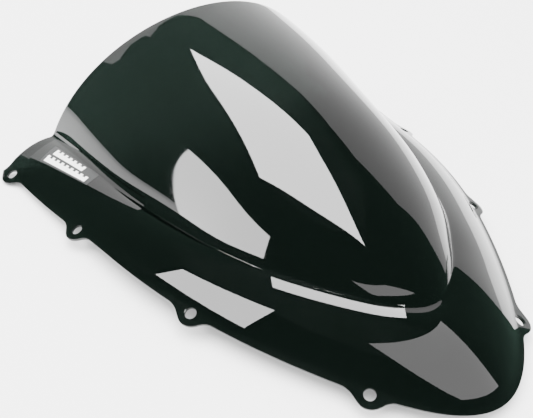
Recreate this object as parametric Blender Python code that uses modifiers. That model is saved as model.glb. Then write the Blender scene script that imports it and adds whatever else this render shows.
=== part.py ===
"""Double-bubble windshield screen of a sport motorcycle: one thermoformed acrylic sheet and its wing decal.

The nose points to -Y, the rider is at +Y, +Z is up and X = 0 is the plane of symmetry.
The sheet is laid out as a right half in millimetres on stations that run from the nose to the rear corner.
Each station is a rib: flange edge, joggle, skirt, crease, bubble, spine.
"""

import bpy
import numpy as np

MM = 0.001

# Sheet
SHEET = 3.0

# Stations from the nose to the rear corner: middle of the joggle, crease, and where the rib meets the spine (y).
STATIONS = [
    ((0.0, -213.5, 15.9), (0.0, -143.3, 41.7), -116.8),
    ((32.5, -201.3, 15.1), (19.5, -136.8, 42.7), -101.2),
    ((61.1, -174.5, 16.4), (39.0, -121.5, 44.5), -83.0),
    ((87.1, -138.9, 17.7), (57.2, -99.9, 45.3), -64.8),
    ((110.5, -100.4, 18.8), (75.4, -75.2, 45.8), -38.8),
    ((131.3, -59.6, 20.1), (91.0, -46.6, 44.5), -12.8),
    ((148.2, -16.7, 21.4), (104.5, -12.8, 41.1), 18.4),
    ((160.4, 27.5, 21.4), (114.4, 26.2, 36.2), 52.2),
    ((169.0, 73.0, 19.3), (124.8, 70.4, 32.8), 91.2),
    ((177.6, 121.1, 14.1), (135.7, 117.2, 32.0), 125.0),
    ((185.1, 169.2, 10.7), (143.5, 167.9, 30.7), 158.8),
    ((191.9, 217.3, 10.2), (149.5, 220.4, 25.8), 185.8),
]

# Height of the spine at evenly spaced distances from the crease apex to the rear edge.
SPINE_Y = (-143.3, 185.8)
SPINE_Z = (41.7, 83.9, 110.8, 127.9, 137.3, 142.5, 145.7)

# The bubble's section is part of an ellipse. A fullness of 1 would end upright at the crease.
FULLNESS_NOSE = 0.71
FULLNESS_REAR = 0.89

# Flank between the joggle and the crease
SKIRT_SAG = 0.10

# Joggle and flange
JOGGLE_WIDTH = 2.6
JOGGLE_RISE = 3.0
FLANGE_WIDTH = 5.8
FLANGE_WIDTH_NOSE = 7.6
FLANGE_DROP_DEG = 24.0
FLANGE_DROP_NOSE_DEG = 45.0
NOSE_BLEND = 60.0

# Ears with the screw holes: distance of each hole from the nose along the joggle, and the ear's outline.
EAR_STATIONS = (86.6, 228.6, 367.8, 482.5)
EAR_OUTLINE = [
    (-17.0, 0.0),
    (-12.5, 2.0),
    (-8.5, 6.5),
    (-4.0, 9.2),
    (1.5, 9.8),
    (5.0, 8.4),
    (9.0, 5.2),
    (13.5, 1.8),
    (19.0, 0.0),
]
HOLE_DIAMETER = 9.0
HOLE_SETBACK = 5.2
HOLE_SIDES = 24
SEAT_REACH = 13.0

# Mesh
RIB_STEP = 12.0
SKIRT_CELLS = 4
BUBBLE_CELLS = 9
CREASE_EASE = 0.10

# Decal on the left wing. Its corners are fractions of the way from the nose to the rear corner and from the
# joggle to the crease: rear end (low, high), then front end (low, high).
DECAL_GAP = 0.3
DECAL_SKIN = 0.2
DECAL_REAR = (0.957, 0.34, 0.82)
DECAL_FRONT = (0.838, 0.58, 0.97)
DECAL_SLANT = 0.012
DECAL_ROWS = {
    "decal_mark_upper": ((0.10, 0.74), (0.56, 0.90), 7),
    "decal_mark_lower": ((0.06, 0.92), (0.10, 0.44), 9),
}


def smooth(values, t, odd=False):
    """Even cubic spline through evenly spaced values, mirrored about the first one."""
    values = np.asarray(values, dtype=float)
    count = len(values)
    system = np.eye(count)
    target = np.zeros(count)
    for i in range(1, count - 1):
        system[i, i - 1 : i + 2] = (1, 4, 1)
        target[i] = 6 * (values[i - 1] - 2 * values[i] + values[i + 1])
    if not odd:
        system[0, :2] = (4, 2)
        target[0] = 12 * (values[1] - values[0])
    bend = np.linalg.solve(system, target)
    place = np.clip(np.asarray(t, dtype=float), 0, 1) * (count - 1)
    i = np.clip(place.astype(int), 0, count - 2)
    f = place - i
    g = 1 - f
    curve = ((g**3 - g) * bend[i] + (f**3 - f) * bend[i + 1]) / 6
    return g * values[i] + f * values[i + 1] + curve


def guide(column, t):
    """A guide line of the station table: 0 for the joggle, 1 for the crease."""
    rows = np.array([station[column] for station in STATIONS])
    return np.stack([smooth(rows[:, 0], t, odd=True), smooth(rows[:, 1], t), smooth(rows[:, 2], t)], -1)


FINE = np.linspace(0, 1, 1501)
FINE_JOGGLE = guide(0, FINE)
FINE_CREASE = guide(1, FINE)
FINE_LENGTH = np.r_[0, np.cumsum(np.linalg.norm(np.diff(FINE_JOGGLE, axis=0), axis=1))]


def outward(t):
    """Unit vectors in plan, square to the joggle line and pointing away from the sheet."""
    ahead = guide(0, np.clip(t + 0.002, 0, 1))
    behind = guide(0, np.clip(t - 0.002, 0, 1))
    along = ahead - behind
    along[t < 0.002] = (1, 0, 0)
    normal = np.stack([along[:, 1], -along[:, 0]], -1)
    return normal / np.linalg.norm(normal, axis=1)[:, None]


def bubble_height(x, y):
    """Height of the bubble above the base at a point between the crease and the spine."""
    width = np.interp(y, FINE_CREASE[:, 1], FINE_CREASE[:, 0])
    crease = np.interp(y, FINE_CREASE[:, 1], FINE_CREASE[:, 2])
    along = (y - SPINE_Y[0]) / (SPINE_Y[1] - SPINE_Y[0])
    spine = smooth(SPINE_Z, along, odd=True)
    rear = np.clip((y - SPINE_Y[0]) / (FINE_CREASE[-1, 1] - SPINE_Y[0]), 0, 1)
    full = FULLNESS_NOSE + (FULLNESS_REAR - FULLNESS_NOSE) * rear
    side = np.clip(x / np.maximum(width, 0.01), 0, 1)
    fall = (1 - np.sqrt(1 - full * side**2)) / (1 - np.sqrt(1 - full))
    return spine - (spine - crease) * fall


def nose_share(length):
    """1 at the nose and 0 along the sides."""
    f = np.clip(1 - length / NOSE_BLEND, 0, 1)
    return f * f * (3 - 2 * f)


def ear_reach(length):
    """How far the ears carry the flange edge outwards."""
    reach = np.zeros_like(length)
    for centre in EAR_STATIONS:
        along, out = np.array(EAR_OUTLINE).T
        reach = np.maximum(reach, np.interp(length - centre, along, out))
    return reach


def flange_point(t, length, distance):
    """Point on the flange at a distance outwards from the foot of the joggle."""
    nose = nose_share(length)
    drop = np.radians(FLANGE_DROP_DEG + (FLANGE_DROP_NOSE_DEG - FLANGE_DROP_DEG) * nose)
    point = guide(0, t)
    point[:, :2] += outward(t) * (JOGGLE_WIDTH / 2 + distance * np.cos(drop))[:, None]
    point[:, 2] -= JOGGLE_RISE / 2 + distance * np.sin(drop)
    return point


def rib_lengths():
    """Distances from the nose along the joggle: close at the ears, wider between them."""
    total = FINE_LENGTH[-1]
    marks = [0.0, total]
    for centre in EAR_STATIONS:
        marks += [centre + along for along, _ in EAR_OUTLINE if centre + along < total - 1]
    marks = sorted(marks)
    lengths = []
    for start, end in zip(marks[:-1], marks[1:]):
        steps = max(1, round((end - start) / RIB_STEP))
        lengths += list(np.linspace(start, end, steps, endpoint=False))
    return np.array(lengths + [total])


def seat_frames():
    """Centre, plan direction along the edge and plane normal of each ear seat."""
    frames = []
    for centre in EAR_STATIONS:
        length = np.array([centre - 1, centre, centre + 1])
        t = np.interp(length, FINE_LENGTH, FINE)
        middle = flange_point(t, length, np.full(3, HOLE_SETBACK))
        outer = flange_point(t, length, np.full(3, HOLE_SETBACK + 5))
        normal = np.cross(outer[1] - middle[1], middle[2] - middle[0])
        normal /= np.linalg.norm(normal)
        if normal[2] < 0:
            normal = -normal
        frames.append((middle[1], normal))
    return frames


def skirt_point(t, f):
    """Point on the flank, f of the way from the top of the joggle to the crease."""
    top = guide(0, t)
    top[:, :2] -= outward(t) * JOGGLE_WIDTH / 2
    top[:, 2] += JOGGLE_RISE / 2
    crease = guide(1, t)
    chord = crease - top
    point = top + chord * f
    point[:, 2] += (4 * SKIRT_SAG * np.linalg.norm(chord, axis=1)[:, None] * f * (1 - f))[:, 0]
    return point


def bubble_point(t, f):
    """Point on the bubble, f of the way from the crease to the spine. Ribs bend in plan towards the rear."""
    crease = guide(1, t)
    ends = np.array([station[2] for station in STATIONS])
    spine_y = ends[0] + smooth(ends - ends[0], t, odd=True)
    x = crease[:, 0] * (1 - f)
    y = crease[:, 1] + (spine_y - crease[:, 1]) * ((1 - t) * f + t * (1 - (1 - f) ** 2))
    return np.stack([x, y, bubble_height(x, y)], -1)


def half_sheet():
    """Grid of points on the upper face of the right half, one row per rib, in millimetres."""
    lengths = rib_lengths()
    t = np.interp(lengths, FINE_LENGTH, FINE)
    width = FLANGE_WIDTH + (FLANGE_WIDTH_NOSE - FLANGE_WIDTH) * nose_share(lengths)
    edge = width + ear_reach(lengths)
    columns = [flange_point(t, lengths, edge * share) for share in (1.0, 0.55, 0.0)]
    for centre, (middle, normal) in zip(EAR_STATIONS, seat_frames()):
        near = np.abs(lengths - centre) < SEAT_REACH
        for column in columns:
            rise = ((middle[:2] - column[near, :2]) @ normal[:2]) / normal[2]
            column[near, 2] = middle[2] + rise
    skirt = [skirt_point(t, f) for f in np.linspace(0, 1, SKIRT_CELLS + 1)]
    columns += skirt[:-1]
    columns += [skirt_point(t, 1 - CREASE_EASE), skirt_point(t, 1.0)]
    columns += [bubble_point(t, f) for f in np.linspace(0, 1, BUBBLE_CELLS + 1)[1:]]
    grid = np.stack(columns, 1)
    grid[0, :, 0] = 0
    grid[:, -1, 0] = 0
    return grid


def decal_point(a, b, height):
    """Point above the left wing, from rear to front (a) and from low to high (b)."""
    t = DECAL_REAR[0] + (DECAL_FRONT[0] - DECAL_REAR[0]) * a + DECAL_SLANT * (b - 0.5)
    low = DECAL_REAR[1] + (DECAL_FRONT[1] - DECAL_REAR[1]) * a
    high = DECAL_REAR[2] + (DECAL_FRONT[2] - DECAL_REAR[2]) * a
    f = low + (high - low) * b
    point = skirt_point(t, f[:, None])
    forward = skirt_point(t - 0.002, f[:, None]) - point
    inward = skirt_point(t, f[:, None] + 0.01) - point
    normal = np.cross(inward, forward)
    normal *= np.sign(normal[:, 2:]) / np.linalg.norm(normal, axis=1)[:, None]
    return (point + normal * height) * (-1, 1, 1)


def decal_grid(across, along, cells, height):
    a = np.linspace(*along, cells[0] + 1)
    b = np.linspace(*across, cells[1] + 1)
    return np.stack([decal_point(a, np.full_like(a, v), height) for v in b], 0)


def clear_scene():
    for item in list(bpy.data.objects):
        bpy.data.objects.remove(item, do_unlink=True)


def new_collection(name):
    collection = bpy.data.collections.new(name)
    bpy.context.scene.collection.children.link(collection)
    return collection


def material(name, colour, roughness, ior=1.49):
    made = bpy.data.materials.new(name)
    made.use_nodes = True
    shader = made.node_tree.nodes["Principled BSDF"]
    shader.inputs["Base Color"].default_value = (*colour, 1)
    shader.inputs["Roughness"].default_value = roughness
    shader.inputs["IOR"].default_value = ior
    made.diffuse_color = (*colour, 1)
    return made


def grid_object(name, grid, collection, surface, comb=False):
    """A named object from a grid of points in millimetres. A comb leaves out every other cell of its last row."""
    rows, columns = grid.shape[:2]
    faces = []
    for i in range(rows - 1):
        for j in range(columns - 1):
            if comb and i == rows - 2 and j % 2:
                continue
            corner = i * columns + j
            faces.append((corner, corner + 1, corner + columns + 1, corner + columns))
    upward = np.cross(grid[-1, 0] - grid[0, 0], grid[-1, -1] - grid[0, 0])[2] < 0
    if not upward:
        faces = [face[::-1] for face in faces]
    mesh = bpy.data.meshes.new(name)
    mesh.from_pydata([tuple(point) for point in grid.reshape(-1, 3) * MM], [], faces)
    mesh.validate()
    mesh.materials.append(surface)
    made = bpy.data.objects.new(name, mesh)
    collection.objects.link(made)
    return made


def add_thickness(target, millimetres, offset):
    solidify = target.modifiers.new("Thickness", "SOLIDIFY")
    solidify.thickness = millimetres * MM
    solidify.offset = offset
    solidify.use_even_offset = True
    solidify.use_quality_normals = True


def hole_cutters(collection):
    """One cutter across each ear seat, on both sides."""
    cutters = []
    for number, (middle, normal) in enumerate(seat_frames(), 1):
        for side, sign in (("right", 1), ("left", -1)):
            bpy.ops.mesh.primitive_cylinder_add(
                vertices=HOLE_SIDES, radius=HOLE_DIAMETER / 2 * MM, depth=20 * MM
            )
            cutter = bpy.context.object
            cutter.name = f"cut_hole_{number}_{side}"
            cutter.location = (sign * middle[0] * MM, middle[1] * MM, middle[2] * MM)
            cutter.rotation_euler = (0, np.arccos(normal[2]), np.arctan2(normal[1], sign * normal[0]))
            for owner in list(cutter.users_collection):
                owner.objects.unlink(cutter)
            collection.objects.link(cutter)
            cutter.hide_render = True
            cutter.display_type = "WIRE"
            cutters.append(cutter)
    return cutters


def make_screen(collection, cutter_collection):
    acrylic = material("smoked_acrylic", (0.012, 0.018, 0.016), 0.06)
    screen = grid_object("screen", half_sheet(), collection, acrylic)
    mirror = screen.modifiers.new("Other half", "MIRROR")
    mirror.merge_threshold = 0.00005
    mirror.use_clip = True
    add_thickness(screen, SHEET, -1.0)
    for cutter in hole_cutters(cutter_collection):
        cut = screen.modifiers.new(cutter.name, "BOOLEAN")
        cut.operation = "DIFFERENCE"
        cut.solver = "EXACT"
        cut.object = cutter
    return screen


def make_decal(collection):
    """A black vinyl backing with two plain white combs on it."""
    black = material("decal_black", (0.01, 0.01, 0.01), 0.3)
    white = material("decal_white", (0.85, 0.85, 0.83), 0.35)
    grid = decal_grid((0, 1), (0, 1), (12, 4), DECAL_GAP)
    backing = grid_object("decal_backing", grid, collection, black)
    add_thickness(backing, DECAL_SKIN, 1.0)
    height = 2 * DECAL_GAP + DECAL_SKIN
    for name, (along, across, bars) in DECAL_ROWS.items():
        grid = decal_grid(across, along, (2 * bars - 1, 3), height)
        mark = grid_object(name, grid, collection, white, comb=True)
        add_thickness(mark, DECAL_SKIN, 1.0)


def settle(screen):
    """Move everything so that the screen stands on Z = 0 with its middle over the origin."""
    graph = bpy.context.evaluated_depsgraph_get()
    shape = screen.evaluated_get(graph).to_mesh()
    points = np.array([vertex.co for vertex in shape.vertices])
    shift = (0, -(points[:, 1].min() + points[:, 1].max()) / 2, -points[:, 2].min())
    for item in bpy.data.objects:
        item.location = np.array(item.location) + shift


def main():
    clear_scene()
    parts = new_collection("windshield_screen")
    cutters = new_collection("cutters")
    screen = make_screen(parts, cutters)
    make_decal(parts)
    settle(screen)


main()
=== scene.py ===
"""Looks for the windshield screen: one smoked acrylic sheet with polished edges, and its vinyl decal."""

import bpy
import numpy as np
from mathutils import Matrix, Vector


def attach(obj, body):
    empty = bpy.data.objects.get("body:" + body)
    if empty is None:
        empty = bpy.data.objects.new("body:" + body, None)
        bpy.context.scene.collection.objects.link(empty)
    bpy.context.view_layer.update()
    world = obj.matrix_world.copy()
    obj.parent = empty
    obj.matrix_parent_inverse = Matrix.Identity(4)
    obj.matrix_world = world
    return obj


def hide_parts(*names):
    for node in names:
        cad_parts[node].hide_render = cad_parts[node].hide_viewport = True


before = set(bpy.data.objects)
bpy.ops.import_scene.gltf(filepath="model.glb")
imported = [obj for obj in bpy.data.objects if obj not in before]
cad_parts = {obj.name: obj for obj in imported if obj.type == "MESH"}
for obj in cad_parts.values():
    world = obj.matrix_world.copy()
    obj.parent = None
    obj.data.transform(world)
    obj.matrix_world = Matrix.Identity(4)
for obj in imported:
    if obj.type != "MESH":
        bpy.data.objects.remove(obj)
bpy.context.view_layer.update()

MM = 0.001

# The sheet's shape, as in the CAD: millimetres, nose at -Y, right half.
SHEET = 3.0
STATIONS = [  # middle of the joggle, crease, where the rib meets the spine (y)
    ((0.0, -213.5, 15.9), (0.0, -143.3, 41.7), -116.8),
    ((32.5, -201.3, 15.1), (19.5, -136.8, 42.7), -101.2),
    ((61.1, -174.5, 16.4), (39.0, -121.5, 44.5), -83.0),
    ((87.1, -138.9, 17.7), (57.2, -99.9, 45.3), -64.8),
    ((110.5, -100.4, 18.8), (75.4, -75.2, 45.8), -38.8),
    ((131.3, -59.6, 20.1), (91.0, -46.6, 44.5), -12.8),
    ((148.2, -16.7, 21.4), (104.5, -12.8, 41.1), 18.4),
    ((160.4, 27.5, 21.4), (114.4, 26.2, 36.2), 52.2),
    ((169.0, 73.0, 19.3), (124.8, 70.4, 32.8), 91.2),
    ((177.6, 121.1, 14.1), (135.7, 117.2, 32.0), 125.0),
    ((185.1, 169.2, 10.7), (143.5, 167.9, 30.7), 158.8),
    ((191.9, 217.3, 10.2), (149.5, 220.4, 25.8), 185.8),
]
SPINE_Y = (-143.3, 185.8)
SPINE_Z = (41.7, 83.9, 110.8, 127.9, 137.3, 142.5, 145.7)
FULLNESS_NOSE = 0.71
FULLNESS_REAR = 0.89
SKIRT_SAG = 0.10
JOGGLE_WIDTH = 2.6
JOGGLE_RISE = 3.0
FLANGE_WIDTH = 5.8
FLANGE_WIDTH_NOSE = 7.6
FLANGE_DROP_DEG = 24.0
FLANGE_DROP_NOSE_DEG = 45.0
NOSE_BLEND = 60.0
EAR_STATIONS = (86.6, 228.6, 367.8, 482.5)
EAR_OUTLINE = [
    (-17, 0), (-12.5, 2), (-8.5, 6.5), (-4, 9.2), (1.5, 9.8), (5, 8.4), (9, 5.2), (13.5, 1.8), (19, 0),
]
HOLE_RADIUS = 4.5
HOLE_SETBACK = 5.2
SEAT_REACH = (11.0, 15.0)
SHIFT = np.array((0.0, -0.113, 0.401))  # from the station table to the row frame

# Fine grid
RIB_STEP = 2.2
BEND_REACH = 3.0
BEND_CELLS = 8
SKIRT_CELLS = 14
FILLET_CELLS = 6
FILLET_SKIRT = 0.06
FILLET_BUBBLE = 0.015
BUBBLE_CELLS = 40
RIM_ROUND = 0.55
HOLE_SIDES = 48
HOLE_FLARE = 0.4
SHEET_SHARP_DEG = 32
FILM_SHARP_DEG = 40

# Decal, as in the CAD
DECAL_REAR = (0.957, 0.34, 0.82)
DECAL_FRONT = (0.838, 0.58, 0.97)
DECAL_SLANT = 0.012
DECAL_ROWS = {
    "decal_mark_upper": ((0.10, 0.74), (0.56, 0.90), 7),
    "decal_mark_lower": ((0.06, 0.92), (0.10, 0.44), 9),
}

FILM_GAP = 0.03
FILM_THICK = 0.06
PRINT_GAP = 0.10
PRINT_THICK = 0.03

# Surroundings: a dim room in the gloss where no card is, and white for every other ray
ROOM_TINT = (0.55, 1.0, 0.78)
ROOM = 0.30
SURROUND = 3.5

FLOOR_HALF = 30000
FLOOR_DEPTH = -0.3

# Lamp: metres and watts
LAMP_SIZE = 3.0
LAMP_POWER = 250
LAMP_PLACE = (-0.4, 0.3, 2.5)

# Mirror-only cards, in metres. The overhead one lies where rays from the screen meet its plane:
# (point in mm, azimuth, elevation)
OVERHEAD_HEIGHT = 0.5
OVERHEAD_RAYS = [
    ((-50, 132, 133), -5, 46),
    ((-24, -9, 117), 38, 75),
    ((-30, -96, 73), -167, 58),
    ((-67, -10, 94), -70, 47),
]
OVERHEAD_STRENGTH = 34
LEFT_CARD = [(-0.5, 0.305, 0.306), (-0.5, 0.232, 0.0), (-0.5, -0.07, 0.0), (-0.5, -0.05, 0.262)]
LEFT_STRENGTH = 22
LOW_CARD = [
    (-0.166, -0.207, 0.15), (-0.051, -0.205, 0.15), (0.039, -0.226, 0.15), (-0.135, -0.250, 0.15),
]
LOW_STRENGTH = 4

# Backdrop: millimetres, and (azimuth, elevation) along its top edge
WALL_RADIUS = 1600
WALL_STRENGTH = 2.1
WALL_TOP = [
    (-31, 29), (-21, 32), (-15, 39), (-9, 40), (17, 38), (25, 43), (45, 52), (65, 58), (83, 58), (96, 51),
    (105, 42),
]

CAMERA_PLACE = (-0.34886, -0.42156, 0.43232)
CAMERA_LOOK = (0.46326, 0.65773, -0.59395)
CAMERA_UP = (0.27738, 0.52892, 0.80206)
CAMERA_LENS = 54.03
CAMERA_SENSOR = 36
CAMERA_CLIP = 0.01

# Cards just above the left flank: (t, f) corners, brightness, and millimetres under the flag.
# The flag's height above the sheet falls from the rim to the crease.
FLAG_HEIGHT = 14
FLAG_FALL = 8
FLANK_CARDS = [
    ("flag", [(-0.22, -0.7), (1.0, -0.7), (1.0, 1.0), (-0.22, 1.0)], ROOM, 0),
    ("card_flank", [(0.588, -0.15), (0.56, 0.21), (0.38, 0.27), (0.413, -0.16)], 22, 1),
    ("card_crease", [(0.413, 0.89), (0.095, 1.0), (0.105, 0.86), (0.398, 0.69)], 26, 4),
    ("card_nose", [(0.215, 0.31), (0.005, 0.82), (-0.043, -0.12), (0.068, -0.12)], 4.5, 1),
    ("card_wing", [(0.738, 0.90), (0.738, 1.0), (1.0, 1.0), (1.0, 0.15)], 3, 1),
    ("card_rim", [(0.99, -0.56), (0.99, -0.50), (0.0, -0.42), (0.0, -0.48)], 5, 1),
]


def smooth(values, t, odd=False):
    """Even cubic spline through evenly spaced values, mirrored about the first one."""
    values = np.asarray(values, dtype=float)
    count = len(values)
    system = np.eye(count)
    target = np.zeros(count)
    for i in range(1, count - 1):
        system[i, i - 1 : i + 2] = (1, 4, 1)
        target[i] = 6 * (values[i - 1] - 2 * values[i] + values[i + 1])
    if not odd:
        system[0, :2] = (4, 2)
        target[0] = 12 * (values[1] - values[0])
    bend = np.linalg.solve(system, target)
    place = np.clip(np.asarray(t, dtype=float), 0, 1) * (count - 1)
    i = np.clip(place.astype(int), 0, count - 2)
    f = place - i
    g = 1 - f
    curve = ((g**3 - g) * bend[i] + (f**3 - f) * bend[i + 1]) / 6
    return g * values[i] + f * values[i + 1] + curve


def guide(column, t):
    rows = np.array([station[column] for station in STATIONS])
    return np.stack([smooth(rows[:, 0], t, odd=True), smooth(rows[:, 1], t), smooth(rows[:, 2], t)], -1)


FINE = np.linspace(0, 1, 6001)
FINE_JOGGLE = guide(0, FINE)
FINE_CREASE = guide(1, FINE)
FINE_LENGTH = np.r_[0, np.cumsum(np.linalg.norm(np.diff(FINE_JOGGLE, axis=0), axis=1))]


def outward(t):
    ahead = guide(0, np.clip(t + 0.002, 0, 1))
    behind = guide(0, np.clip(t - 0.002, 0, 1))
    along = ahead - behind
    along[t < 0.002] = (1, 0, 0)
    normal = np.stack([along[:, 1], -along[:, 0]], -1)
    return normal / np.linalg.norm(normal, axis=1)[:, None]


def bubble_height(x, y):
    width = np.interp(y, FINE_CREASE[:, 1], FINE_CREASE[:, 0])
    crease = np.interp(y, FINE_CREASE[:, 1], FINE_CREASE[:, 2])
    along = (y - SPINE_Y[0]) / (SPINE_Y[1] - SPINE_Y[0])
    spine = smooth(SPINE_Z, along, odd=True)
    rear = np.clip((y - SPINE_Y[0]) / (FINE_CREASE[-1, 1] - SPINE_Y[0]), 0, 1)
    full = FULLNESS_NOSE + (FULLNESS_REAR - FULLNESS_NOSE) * rear
    side = np.clip(x / np.maximum(width, 0.01), 0, 1)
    fall = (1 - np.sqrt(1 - full * side**2)) / (1 - np.sqrt(1 - full))
    return spine - (spine - crease) * fall


def ramp(f):
    f = np.clip(f, 0, 1)
    return f * f * (3 - 2 * f)


def nose_share(length):
    return ramp(1 - length / NOSE_BLEND)


def ear_reach(length):
    """How far the ears carry the edge outwards, with their outline's corners rounded."""
    fine = np.arange(-30, FINE_LENGTH[-1] + 30, 0.25)
    reach = np.zeros_like(fine)
    for centre in EAR_STATIONS:
        along, out = np.array(EAR_OUTLINE).T
        reach = np.maximum(reach, np.interp(fine - centre, along, out))
    kernel = np.exp(-0.5 * (np.arange(-24, 25) * 0.25 / 1.3) ** 2)
    reach = np.convolve(reach, kernel / kernel.sum(), mode="same")
    return np.interp(length, fine, reach)


def flange_point(t, length, distance):
    nose = nose_share(length)
    drop = np.radians(FLANGE_DROP_DEG + (FLANGE_DROP_NOSE_DEG - FLANGE_DROP_DEG) * nose)
    point = guide(0, t)
    point[:, :2] += outward(t) * (JOGGLE_WIDTH / 2 + distance * np.cos(drop))[:, None]
    point[:, 2] -= JOGGLE_RISE / 2 + distance * np.sin(drop)
    return point


def skirt_point(t, f):
    top = guide(0, t)
    top[:, :2] -= outward(t) * JOGGLE_WIDTH / 2
    top[:, 2] += JOGGLE_RISE / 2
    crease = guide(1, t)
    chord = crease - top
    f = np.broadcast_to(np.asarray(f, dtype=float).reshape(-1, 1), (len(t), 1))
    point = top + chord * f
    point[:, 2] += 4 * SKIRT_SAG * np.linalg.norm(chord, axis=1) * (f * (1 - f))[:, 0]
    return point


def bubble_point(t, f):
    crease = guide(1, t)
    ends = np.array([station[2] for station in STATIONS])
    spine_y = ends[0] + smooth(ends - ends[0], t, odd=True)
    x = crease[:, 0] * (1 - f)
    y = crease[:, 1] + (spine_y - crease[:, 1]) * ((1 - t) * f + t * (1 - (1 - f) ** 2))
    return np.stack([x, y, bubble_height(x, y)], -1)


def seat_frames():
    """Centre and plane normal of each ear seat on the right."""
    frames = []
    for centre in EAR_STATIONS:
        length = np.array([centre - 1, centre, centre + 1])
        t = np.interp(length, FINE_LENGTH, FINE)
        middle = flange_point(t, length, np.full(3, HOLE_SETBACK))
        outer = flange_point(t, length, np.full(3, HOLE_SETBACK + 5))
        normal = np.cross(outer[1] - middle[1], middle[2] - middle[0])
        normal /= np.linalg.norm(normal)
        frames.append((middle[1], normal * np.sign(normal[2])))
    return frames


def bezier(points, steps):
    """Columns along a Bezier curve, without its two ends."""
    degree = len(points) - 1
    choose = [1, 2, 1] if degree == 2 else [1, 3, 3, 1]
    columns = []
    for f in np.linspace(0, 1, steps + 1)[1:-1]:
        weights = [choose[k] * f**k * (1 - f) ** (degree - k) for k in range(degree + 1)]
        columns.append(sum(w * p for w, p in zip(weights, points)))
    return columns


def half_sheet():
    """Fine grid on the upper face of the right half: one row per rib, from the edge to the spine."""
    total = FINE_LENGTH[-1]
    lengths = np.linspace(0, total, round(total / RIB_STEP) + 1)
    t = np.interp(lengths, FINE_LENGTH, FINE)
    width = FLANGE_WIDTH + (FLANGE_WIDTH_NOSE - FLANGE_WIDTH) * nose_share(lengths)
    edge = width + ear_reach(lengths)
    flat = np.full(len(t), BEND_REACH)
    distances = [edge + (flat - edge) * share for share in (0, 0.3, 0.65, 1)]
    columns = [flange_point(t, lengths, distance) for distance in distances]
    foot = flange_point(t, lengths, flat * 0)
    for centre, (middle, normal) in zip(EAR_STATIONS, seat_frames()):
        near = ramp((SEAT_REACH[1] - np.abs(lengths - centre)) / (SEAT_REACH[1] - SEAT_REACH[0]))
        for column in columns + [foot]:
            level = middle[2] + (middle[:2] - column[:, :2]) @ normal[:2] / normal[2]
            column[:, 2] += (level - column[:, 2]) * near
    chord = np.linalg.norm(skirt_point(t, 1.0) - skirt_point(t, 0.0), axis=1)
    reach = BEND_REACH / chord
    low = skirt_point(t, reach)
    columns += bezier([columns[-1], foot, skirt_point(t, 0.0), low], BEND_CELLS)
    for share in np.linspace(0, 1, SKIRT_CELLS + 1):
        columns.append(skirt_point(t, reach + (1 - FILLET_SKIRT - reach) * share))
    steep = bubble_point(t, FILLET_BUBBLE)
    columns += bezier([columns[-1], skirt_point(t, 1.0), steep], FILLET_CELLS)
    for share in np.linspace(0, 1, BUBBLE_CELLS + 1):
        columns.append(bubble_point(t, FILLET_BUBBLE + (1 - FILLET_BUBBLE) * share**1.3))
    grid = np.stack(columns, 1)
    grid[0, :, 0] = 0
    grid[:, -1, 0] = 0
    return grid + SHIFT


def add_mesh(name, points, faces, surface):
    mesh = bpy.data.meshes.new(name)
    mesh.from_pydata([tuple(p) for p in np.asarray(points) * MM], [], [tuple(map(int, f)) for f in faces])
    mesh.validate()
    mesh.update()
    mesh.polygons.foreach_set("use_smooth", [True] * len(mesh.polygons))
    if surface:
        mesh.materials.append(surface)
    made = bpy.data.objects.new(name, mesh)
    bpy.context.scene.collection.objects.link(made)
    return made


def point_normals(points, faces):
    corners = points[faces]
    normal = np.cross(corners[:, 2] - corners[:, 0], corners[:, 3] - corners[:, 1])
    total = np.zeros_like(points)
    for k in range(4):
        np.add.at(total, faces[:, k], normal)
    return total / np.linalg.norm(total, axis=1)[:, None]


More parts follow.
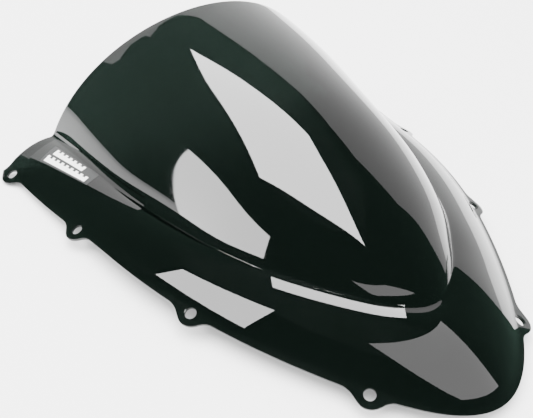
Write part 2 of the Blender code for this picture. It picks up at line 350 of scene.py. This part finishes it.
def sheet_mesh():
    """Closed shell: both halves, both faces, and a rim with rounded edges all the way round."""
    grid = half_sheet()
    rows, cols = grid.shape[:2]
    right = np.arange(rows * cols).reshape(rows, cols)
    left = right + rows * cols
    left[0, :] = right[0, :]
    left[:, -1] = right[:, -1]
    points = np.concatenate([grid.reshape(-1, 3), grid.reshape(-1, 3) * (-1, 1, 1)])

    def cells(index):
        a, b = index[:-1, :-1].ravel(), index[:-1, 1:].ravel()
        c, d = index[1:, 1:].ravel(), index[1:, :-1].ravel()
        return np.stack([a, b, c, d], 1)

    faces = np.concatenate([cells(right)[:, ::-1], cells(left)])
    used = np.unique(faces)
    place = np.zeros(len(points), int)
    place[used] = np.arange(len(used))
    points = points[used]
    faces = place[faces]
    normal = point_normals(points, faces)
    if normal[:, 2].mean() < 0:
        faces = faces[:, ::-1]
        normal = -normal
    loop = np.concatenate([right[:, 0], right[-1, 1:], left[-1, -2::-1], left[-2:0:-1, 0]])
    loop = place[loop]
    rim = points[loop]
    along = np.roll(rim, -1, 0) - np.roll(rim, 1, 0)
    along /= np.linalg.norm(along, axis=1)[:, None]
    out = np.cross(along, normal[loop])
    out /= np.linalg.norm(out, axis=1)[:, None]
    if ((rim - points.mean(0)) * out).sum() < 0:
        out = -out
    inner = points.copy()
    inner[loop] -= out * RIM_ROUND
    top, bottom = inner, inner - normal * SHEET
    count = len(points)
    shell = [top, bottom]
    turns = np.radians((60, 30, 0))
    profile = [(RIM_ROUND * np.cos(a), RIM_ROUND * (1 - np.sin(a))) for a in turns]
    profile += [(u, SHEET - w) for u, w in profile[::-1]]
    rings = [loop]
    for u, w in profile:
        rings.append(np.arange(len(loop)) + sum(len(s) for s in shell))
        shell.append(inner[loop] + out * u - normal[loop] * w)
    rings.append(loop + count)
    shell = np.concatenate(shell)
    quads = [faces, faces[:, ::-1] + count]
    for first, second in zip(rings[:-1], rings[1:]):
        quads.append(np.stack([first, np.roll(first, -1), np.roll(second, -1), second], 1))
    test = quads[2][0]
    facing = np.cross(shell[test[2]] - shell[test[0]], shell[test[3]] - shell[test[1]]) @ out[0]
    if facing < 0:
        quads[2:] = [q[:, ::-1] for q in quads[2:]]
    return shell, np.concatenate(quads)


def hole_cutter():
    """One mesh of eight spools: a round hole with a small flare at each face of the sheet."""
    sides, flare = HOLE_SIDES, HOLE_FLARE
    around = np.linspace(0, 2 * np.pi, sides, endpoint=False)
    profile = [
        (HOLE_RADIUS + 2 * flare, flare),
        (HOLE_RADIUS + flare, 0.0),
        (HOLE_RADIUS, -flare),
        (HOLE_RADIUS, flare - SHEET),
        (HOLE_RADIUS + flare, -SHEET),
        (HOLE_RADIUS + 2 * flare, -SHEET - flare),
    ]
    points, faces = [], []
    for middle, normal in seat_frames():
        for sign in (1, -1):
            axis = np.array((sign * normal[0], normal[1], normal[2]))
            centre = np.array((sign * middle[0], middle[1], middle[2])) + SHIFT
            first = np.cross(axis, (0, 1, 0))
            first /= np.linalg.norm(first)
            second = np.cross(axis, first)
            start = len(points)
            for radius, height in profile:
                for angle in around:
                    spoke = first * np.cos(angle) + second * np.sin(angle)
                    points.append(centre + spoke * radius + axis * height)
            for ring in range(len(profile) - 1):
                for k in range(sides):
                    a, b = start + ring * sides + k, start + ring * sides + (k + 1) % sides
                    faces.append((a, a + sides, b + sides, b))
            faces.append([start + k for k in range(sides)])
            faces.append([start + (len(profile) - 1) * sides + k for k in range(sides)][::-1])
    return points, faces


def cut_holes(sheet):
    points, faces = hole_cutter()
    cutter = add_mesh("hole_cutter", points, faces, None)
    if signed_volume(cutter) < 0:
        cutter.data.flip_normals()
    cut = sheet.modifiers.new("Holes", "BOOLEAN")
    cut.operation = "DIFFERENCE"
    cut.solver = "EXACT"
    cut.object = cutter
    graph = bpy.context.evaluated_depsgraph_get()
    done = bpy.data.meshes.new_from_object(sheet.evaluated_get(graph))
    sheet.modifiers.clear()
    old = sheet.data
    sheet.data = done
    bpy.data.meshes.remove(old)
    bpy.data.objects.remove(cutter, do_unlink=True)


def signed_volume(item):
    points = np.array([v.co for v in item.data.vertices])
    total = 0.0
    for face in item.data.polygons:
        corners = points[list(face.vertices)]
        for k in range(1, len(corners) - 1):
            total += np.dot(corners[0], np.cross(corners[k], corners[k + 1]))
    return total


def sharpen(item, degrees):
    """Smooth shading everywhere except across edges that turn more than this."""
    item.data.set_sharp_from_angle(angle=np.radians(degrees))


def decal_point(a, b, height):
    t = DECAL_REAR[0] + (DECAL_FRONT[0] - DECAL_REAR[0]) * a + DECAL_SLANT * (b - 0.5)
    low = DECAL_REAR[1] + (DECAL_FRONT[1] - DECAL_REAR[1]) * a
    high = DECAL_REAR[2] + (DECAL_FRONT[2] - DECAL_REAR[2]) * a
    f = low + (high - low) * b
    point = skirt_point(t, f)
    forward = skirt_point(t - 0.002, f) - point
    inward = skirt_point(t, f + 0.01) - point
    normal = np.cross(inward, forward)
    normal *= np.sign(normal[:, 2:]) / np.linalg.norm(normal, axis=1)[:, None]
    return (point + normal * height + SHIFT) * (-1, 1, 1)


def film(name, patches, base, thick, surface):
    """A closed thin film on the left wing, from patches of (a, b) given as grids of fractions."""
    points, faces = [], []
    for a, b in patches:
        rows, cols = a.shape
        start = len(points)
        for height in (base, base + thick):
            points += list(decal_point(a.ravel(), b.ravel(), height))
        index = np.arange(rows * cols).reshape(rows, cols) + start
        lift = rows * cols
        for i in range(rows - 1):
            for j in range(cols - 1):
                quad = (index[i, j], index[i, j + 1], index[i + 1, j + 1], index[i + 1, j])
                faces.append(quad)
                faces.append(tuple(k + lift for k in quad[::-1]))
        edge = list(index[0]) + list(index[1:, -1]) + list(index[-1, -2::-1]) + list(index[-2:0:-1, 0])
        for k, m in zip(edge, edge[1:] + edge[:1]):
            faces.append((m, k, k + lift, m + lift))
    made = add_mesh(name, points, faces, surface)
    if signed_volume(made) < 0:
        made.data.flip_normals()
    sharpen(made, FILM_SHARP_DEG)
    return made


def patch(a0, a1, b0, b1, na, nb):
    a, b = np.meshgrid(np.linspace(a0, a1, na + 1), np.linspace(b0, b1, nb + 1), indexing="ij")
    return a, b


# Materials


def new_material(name):
    made = bpy.data.materials.new(name)
    made.use_nodes = True
    nodes, links = made.node_tree.nodes, made.node_tree.links
    return made, nodes, links, nodes["Principled BSDF"]


def noise(nodes, links, place, scale, detail=3.0, rough=0.5):
    made = nodes.new("ShaderNodeTexNoise")
    made.inputs["Scale"].default_value = scale
    made.inputs["Detail"].default_value = detail
    made.inputs["Roughness"].default_value = rough
    links.new(place, made.inputs["Vector"])
    return made.outputs[0]


def spread(nodes, links, value, low, high, to_low, to_high):
    made = nodes.new("ShaderNodeMapRange")
    made.clamp = True
    for socket, number in zip(("From Min", "From Max", "To Min", "To Max"), (low, high, to_low, to_high)):
        made.inputs[socket].default_value = number
    links.new(value, made.inputs["Value"])
    return made.outputs[0]


def blend_colours(nodes, links, factor, first, second):
    made = nodes.new("ShaderNodeMix")
    made.data_type = "RGBA"
    links.new(factor, made.inputs["Factor"])
    made.inputs["A"].default_value = (*first, 1)
    made.inputs["B"].default_value = (*second, 1)
    return made.outputs["Result"]


def acrylic():
    made, nodes, links, shader = new_material("smoked_acrylic_look")
    place = nodes.new("ShaderNodeTexCoord").outputs["Object"]
    tint = spread(nodes, links, noise(nodes, links, place, 7.0, 2.0), 0.3, 0.7, 0, 1)
    colour = blend_colours(nodes, links, tint, (0.0032, 0.0050, 0.0042), (0.0042, 0.0062, 0.0053))
    links.new(colour, shader.inputs["Base Color"])
    haze = noise(nodes, links, place, 22.0, 6.0, 0.65)
    rough = spread(nodes, links, haze, 0.35, 0.75, 0.012, 0.05)
    links.new(rough, shader.inputs["Roughness"])
    shader.inputs["IOR"].default_value = 1.49
    shader.inputs["Transmission Weight"].default_value = 1.0
    wave = nodes.new("ShaderNodeBump")
    wave.inputs["Strength"].default_value = 0.2
    wave.inputs["Distance"].default_value = 0.0006
    links.new(noise(nodes, links, place, 14.0, 1.5, 0.4), wave.inputs["Height"])
    links.new(wave.outputs[0], shader.inputs["Normal"])
    return made


def vinyl(name, dark, light, rough):
    made, nodes, links, shader = new_material(name)
    place = nodes.new("ShaderNodeTexCoord").outputs["Object"]
    grain = noise(nodes, links, place, 900.0, 3.0, 0.6)
    cloud = noise(nodes, links, place, 60.0, 3.0)
    links.new(
        blend_colours(nodes, links, spread(nodes, links, cloud, 0.3, 0.7, 0, 1), dark, light),
        shader.inputs["Base Color"],
    )
    links.new(spread(nodes, links, grain, 0.3, 0.7, rough - 0.06, rough + 0.08), shader.inputs["Roughness"])
    bump = nodes.new("ShaderNodeBump")
    bump.inputs["Strength"].default_value = 0.15
    bump.inputs["Distance"].default_value = 0.00005
    links.new(grain, bump.inputs["Height"])
    links.new(bump.outputs[0], shader.inputs["Normal"])
    return made


def glow(name, strength, tint=(1, 1, 1), one_sided=False):
    made, nodes, links, shader = new_material(name)
    shader.inputs["Base Color"].default_value = (0, 0, 0, 1)
    shader.inputs["Specular IOR Level"].default_value = 0
    shader.inputs["Emission Color"].default_value = (*tint, 1)
    shader.inputs["Emission Strength"].default_value = strength
    if one_sided:
        back = nodes.new("ShaderNodeNewGeometry").outputs["Backfacing"]
        links.new(spread(nodes, links, back, 0, 1, strength, 0), shader.inputs["Emission Strength"])
    return made


def card(name, corners, strength):
    """A softbox that only shows as a mirror image in the gloss."""
    made = add_mesh(name, np.array(corners) / MM, [tuple(range(len(corners)))], glow(name, strength))
    mirror_only(made)


def mirror_only(made, seen_through=False):
    """Leaves a card visible in the gloss alone, and behind the sheet too if it is seen through."""
    made.visible_camera = False
    made.visible_diffuse = False
    made.visible_shadow = False
    made.visible_transmission = seen_through


def flank_card(name, corners, strength, gap):
    """A card close above the left flank: dim it hides the room, bright it leaves a highlight.

    Its corners are (t, f) on the flank, and t is negative on the right.
    """
    u, v = np.meshgrid(np.linspace(0, 1, 49), np.linspace(0, 1, 17), indexing="ij")
    shares = [(1 - u) * (1 - v), u * (1 - v), u * v, (1 - u) * v]
    t = sum(w * c[0] for w, c in zip(shares, corners)).ravel()
    f = sum(w * c[1] for w, c in zip(shares, corners)).ravel()
    points = skirt_point(np.abs(t), f) + SHIFT
    points[:, 0] *= -np.sign(t)
    points[:, 2] += FLAG_HEIGHT - FLAG_FALL * np.maximum(f, 0) - gap
    index = np.arange(u.size).reshape(u.shape)
    faces = np.stack([index[:-1, :-1], index[1:, :-1], index[1:, 1:], index[:-1, 1:]], -1).reshape(-1, 4)
    if point_normals(points, faces)[:, 2].mean() > 0:
        faces = faces[:, ::-1]
    look = glow(name, strength, ROOM_TINT) if name == "flag" else glow(name, strength, one_sided=True)
    mirror_only(add_mesh(name, points, faces, look))


def direction(azimuth, elevation):
    a, e = np.radians(azimuth), np.radians(elevation)
    return np.array((np.sin(a) * np.cos(e), np.cos(a) * np.cos(e), np.sin(e)))


def corners_at(rays, axis, value):
    """Where rays from points on the screen meet a plane, as corners in metres."""
    corners = []
    for point, azimuth, elevation in rays:
        start, way = np.array(point) * MM, direction(azimuth, elevation)
        corners.append(start + way * (value - start[axis]) / way[axis])
    return corners


def make_stage():
    floor_look, nodes, links, shader = new_material("floor_look")
    place = nodes.new("ShaderNodeTexCoord").outputs["Object"]
    shade = spread(nodes, links, noise(nodes, links, place, 1.5, 2.0), 0.3, 0.7, 0, 1)
    links.new(
        blend_colours(nodes, links, shade, (0.88, 0.88, 0.88), (0.90, 0.90, 0.90)),
        shader.inputs["Base Color"],
    )
    shader.inputs["Roughness"].default_value = 0.9
    shader.inputs["Specular IOR Level"].default_value = 0.1
    corners = [(x * FLOOR_HALF, y * FLOOR_HALF, FLOOR_DEPTH) for x, y in ((-1, -1), (1, -1), (1, 1), (-1, 1))]
    add_mesh("floor", corners, [(0, 1, 2, 3)], floor_look)
    card("softbox_overhead", corners_at(OVERHEAD_RAYS, 2, OVERHEAD_HEIGHT), OVERHEAD_STRENGTH)
    card("softbox_left", LEFT_CARD, LEFT_STRENGTH)
    card("card_low", LOW_CARD, LOW_STRENGTH)
    for name, corners, strength, gap in FLANK_CARDS:
        flank_card(name, corners, strength, gap)
    points = []
    for azimuth, elevation in WALL_TOP:
        way = direction(azimuth, 0) * WALL_RADIUS
        points.append(way)
        points.append(way + (0, 0, WALL_RADIUS * np.tan(np.radians(elevation))))
    faces = [(2 * k, 2 * k + 2, 2 * k + 3, 2 * k + 1) for k in range(len(WALL_TOP) - 1)]
    wall = add_mesh("backdrop", points, faces, glow("backdrop", WALL_STRENGTH))
    mirror_only(wall, True)
    lamp = bpy.data.objects.new("soft_top_light", bpy.data.lights.new("soft_top_light", "AREA"))
    lamp.data.shape = "DISK"
    lamp.data.size = LAMP_SIZE
    lamp.data.energy = LAMP_POWER
    lamp.location = LAMP_PLACE
    lamp.visible_glossy = False
    bpy.context.scene.collection.objects.link(lamp)


def make_world():
    world = bpy.data.worlds.new("studio")
    bpy.context.scene.world = world
    world.use_nodes = True
    nodes, links = world.node_tree.nodes, world.node_tree.links
    background = nodes["Background"]
    mirrored = nodes.new("ShaderNodeLightPath").outputs["Is Glossy Ray"]
    links.new(blend_colours(nodes, links, mirrored, (1, 1, 1), ROOM_TINT), background.inputs["Color"])
    links.new(spread(nodes, links, mirrored, 0, 1, SURROUND, ROOM), background.inputs["Strength"])


def make_camera():
    camera = bpy.data.objects.new("camera", bpy.data.cameras.new("camera"))
    bpy.context.scene.collection.objects.link(camera)
    look = Vector(CAMERA_LOOK).normalized()
    up = Vector(CAMERA_UP)
    right = look.cross(up).normalized()
    up = right.cross(look)
    turn = Matrix((right, up, -look)).transposed()
    camera.matrix_world = Matrix.Translation(CAMERA_PLACE) @ turn.to_4x4()
    camera.data.lens = CAMERA_LENS
    camera.data.sensor_width = CAMERA_SENSOR
    camera.data.clip_start = CAMERA_CLIP
    bpy.context.scene.camera = camera


def make_screen():
    points, faces = sheet_mesh()
    sheet = add_mesh("screen_sheet", points, faces, acrylic())
    cut_holes(sheet)
    sharpen(sheet, SHEET_SHARP_DEG)
    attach(sheet, "root")
    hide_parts("screen")


def make_decal():
    black = vinyl("decal_black_look", (0.010, 0.011, 0.011), (0.016, 0.017, 0.017), 0.34)
    white = vinyl("decal_white_look", (0.78, 0.78, 0.76), (0.86, 0.86, 0.84), 0.38)
    backing = film("decal_film", [patch(0, 1, 0, 1, 48, 14)], FILM_GAP, FILM_THICK, black)
    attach(backing, "root")
    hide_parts("decal_backing")
    for name, (along, across, bars) in DECAL_ROWS.items():
        third = (across[1] - across[0]) / 3
        base = patch(along[0], along[1], across[0], across[1] - third, 4 * (2 * bars - 1), 4)
        patches = [base]
        step = (along[1] - along[0]) / (2 * bars - 1)
        for k in range(bars):
            start = along[0] + 2 * k * step
            patches.append(patch(start, start + step, across[1] - third, across[1], 3, 3))
        mark = film(name + "_print", patches, PRINT_GAP, PRINT_THICK, white)
        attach(mark, "root")
        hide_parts(name)


make_camera()
make_world()
make_stage()
make_screen()
make_decal()
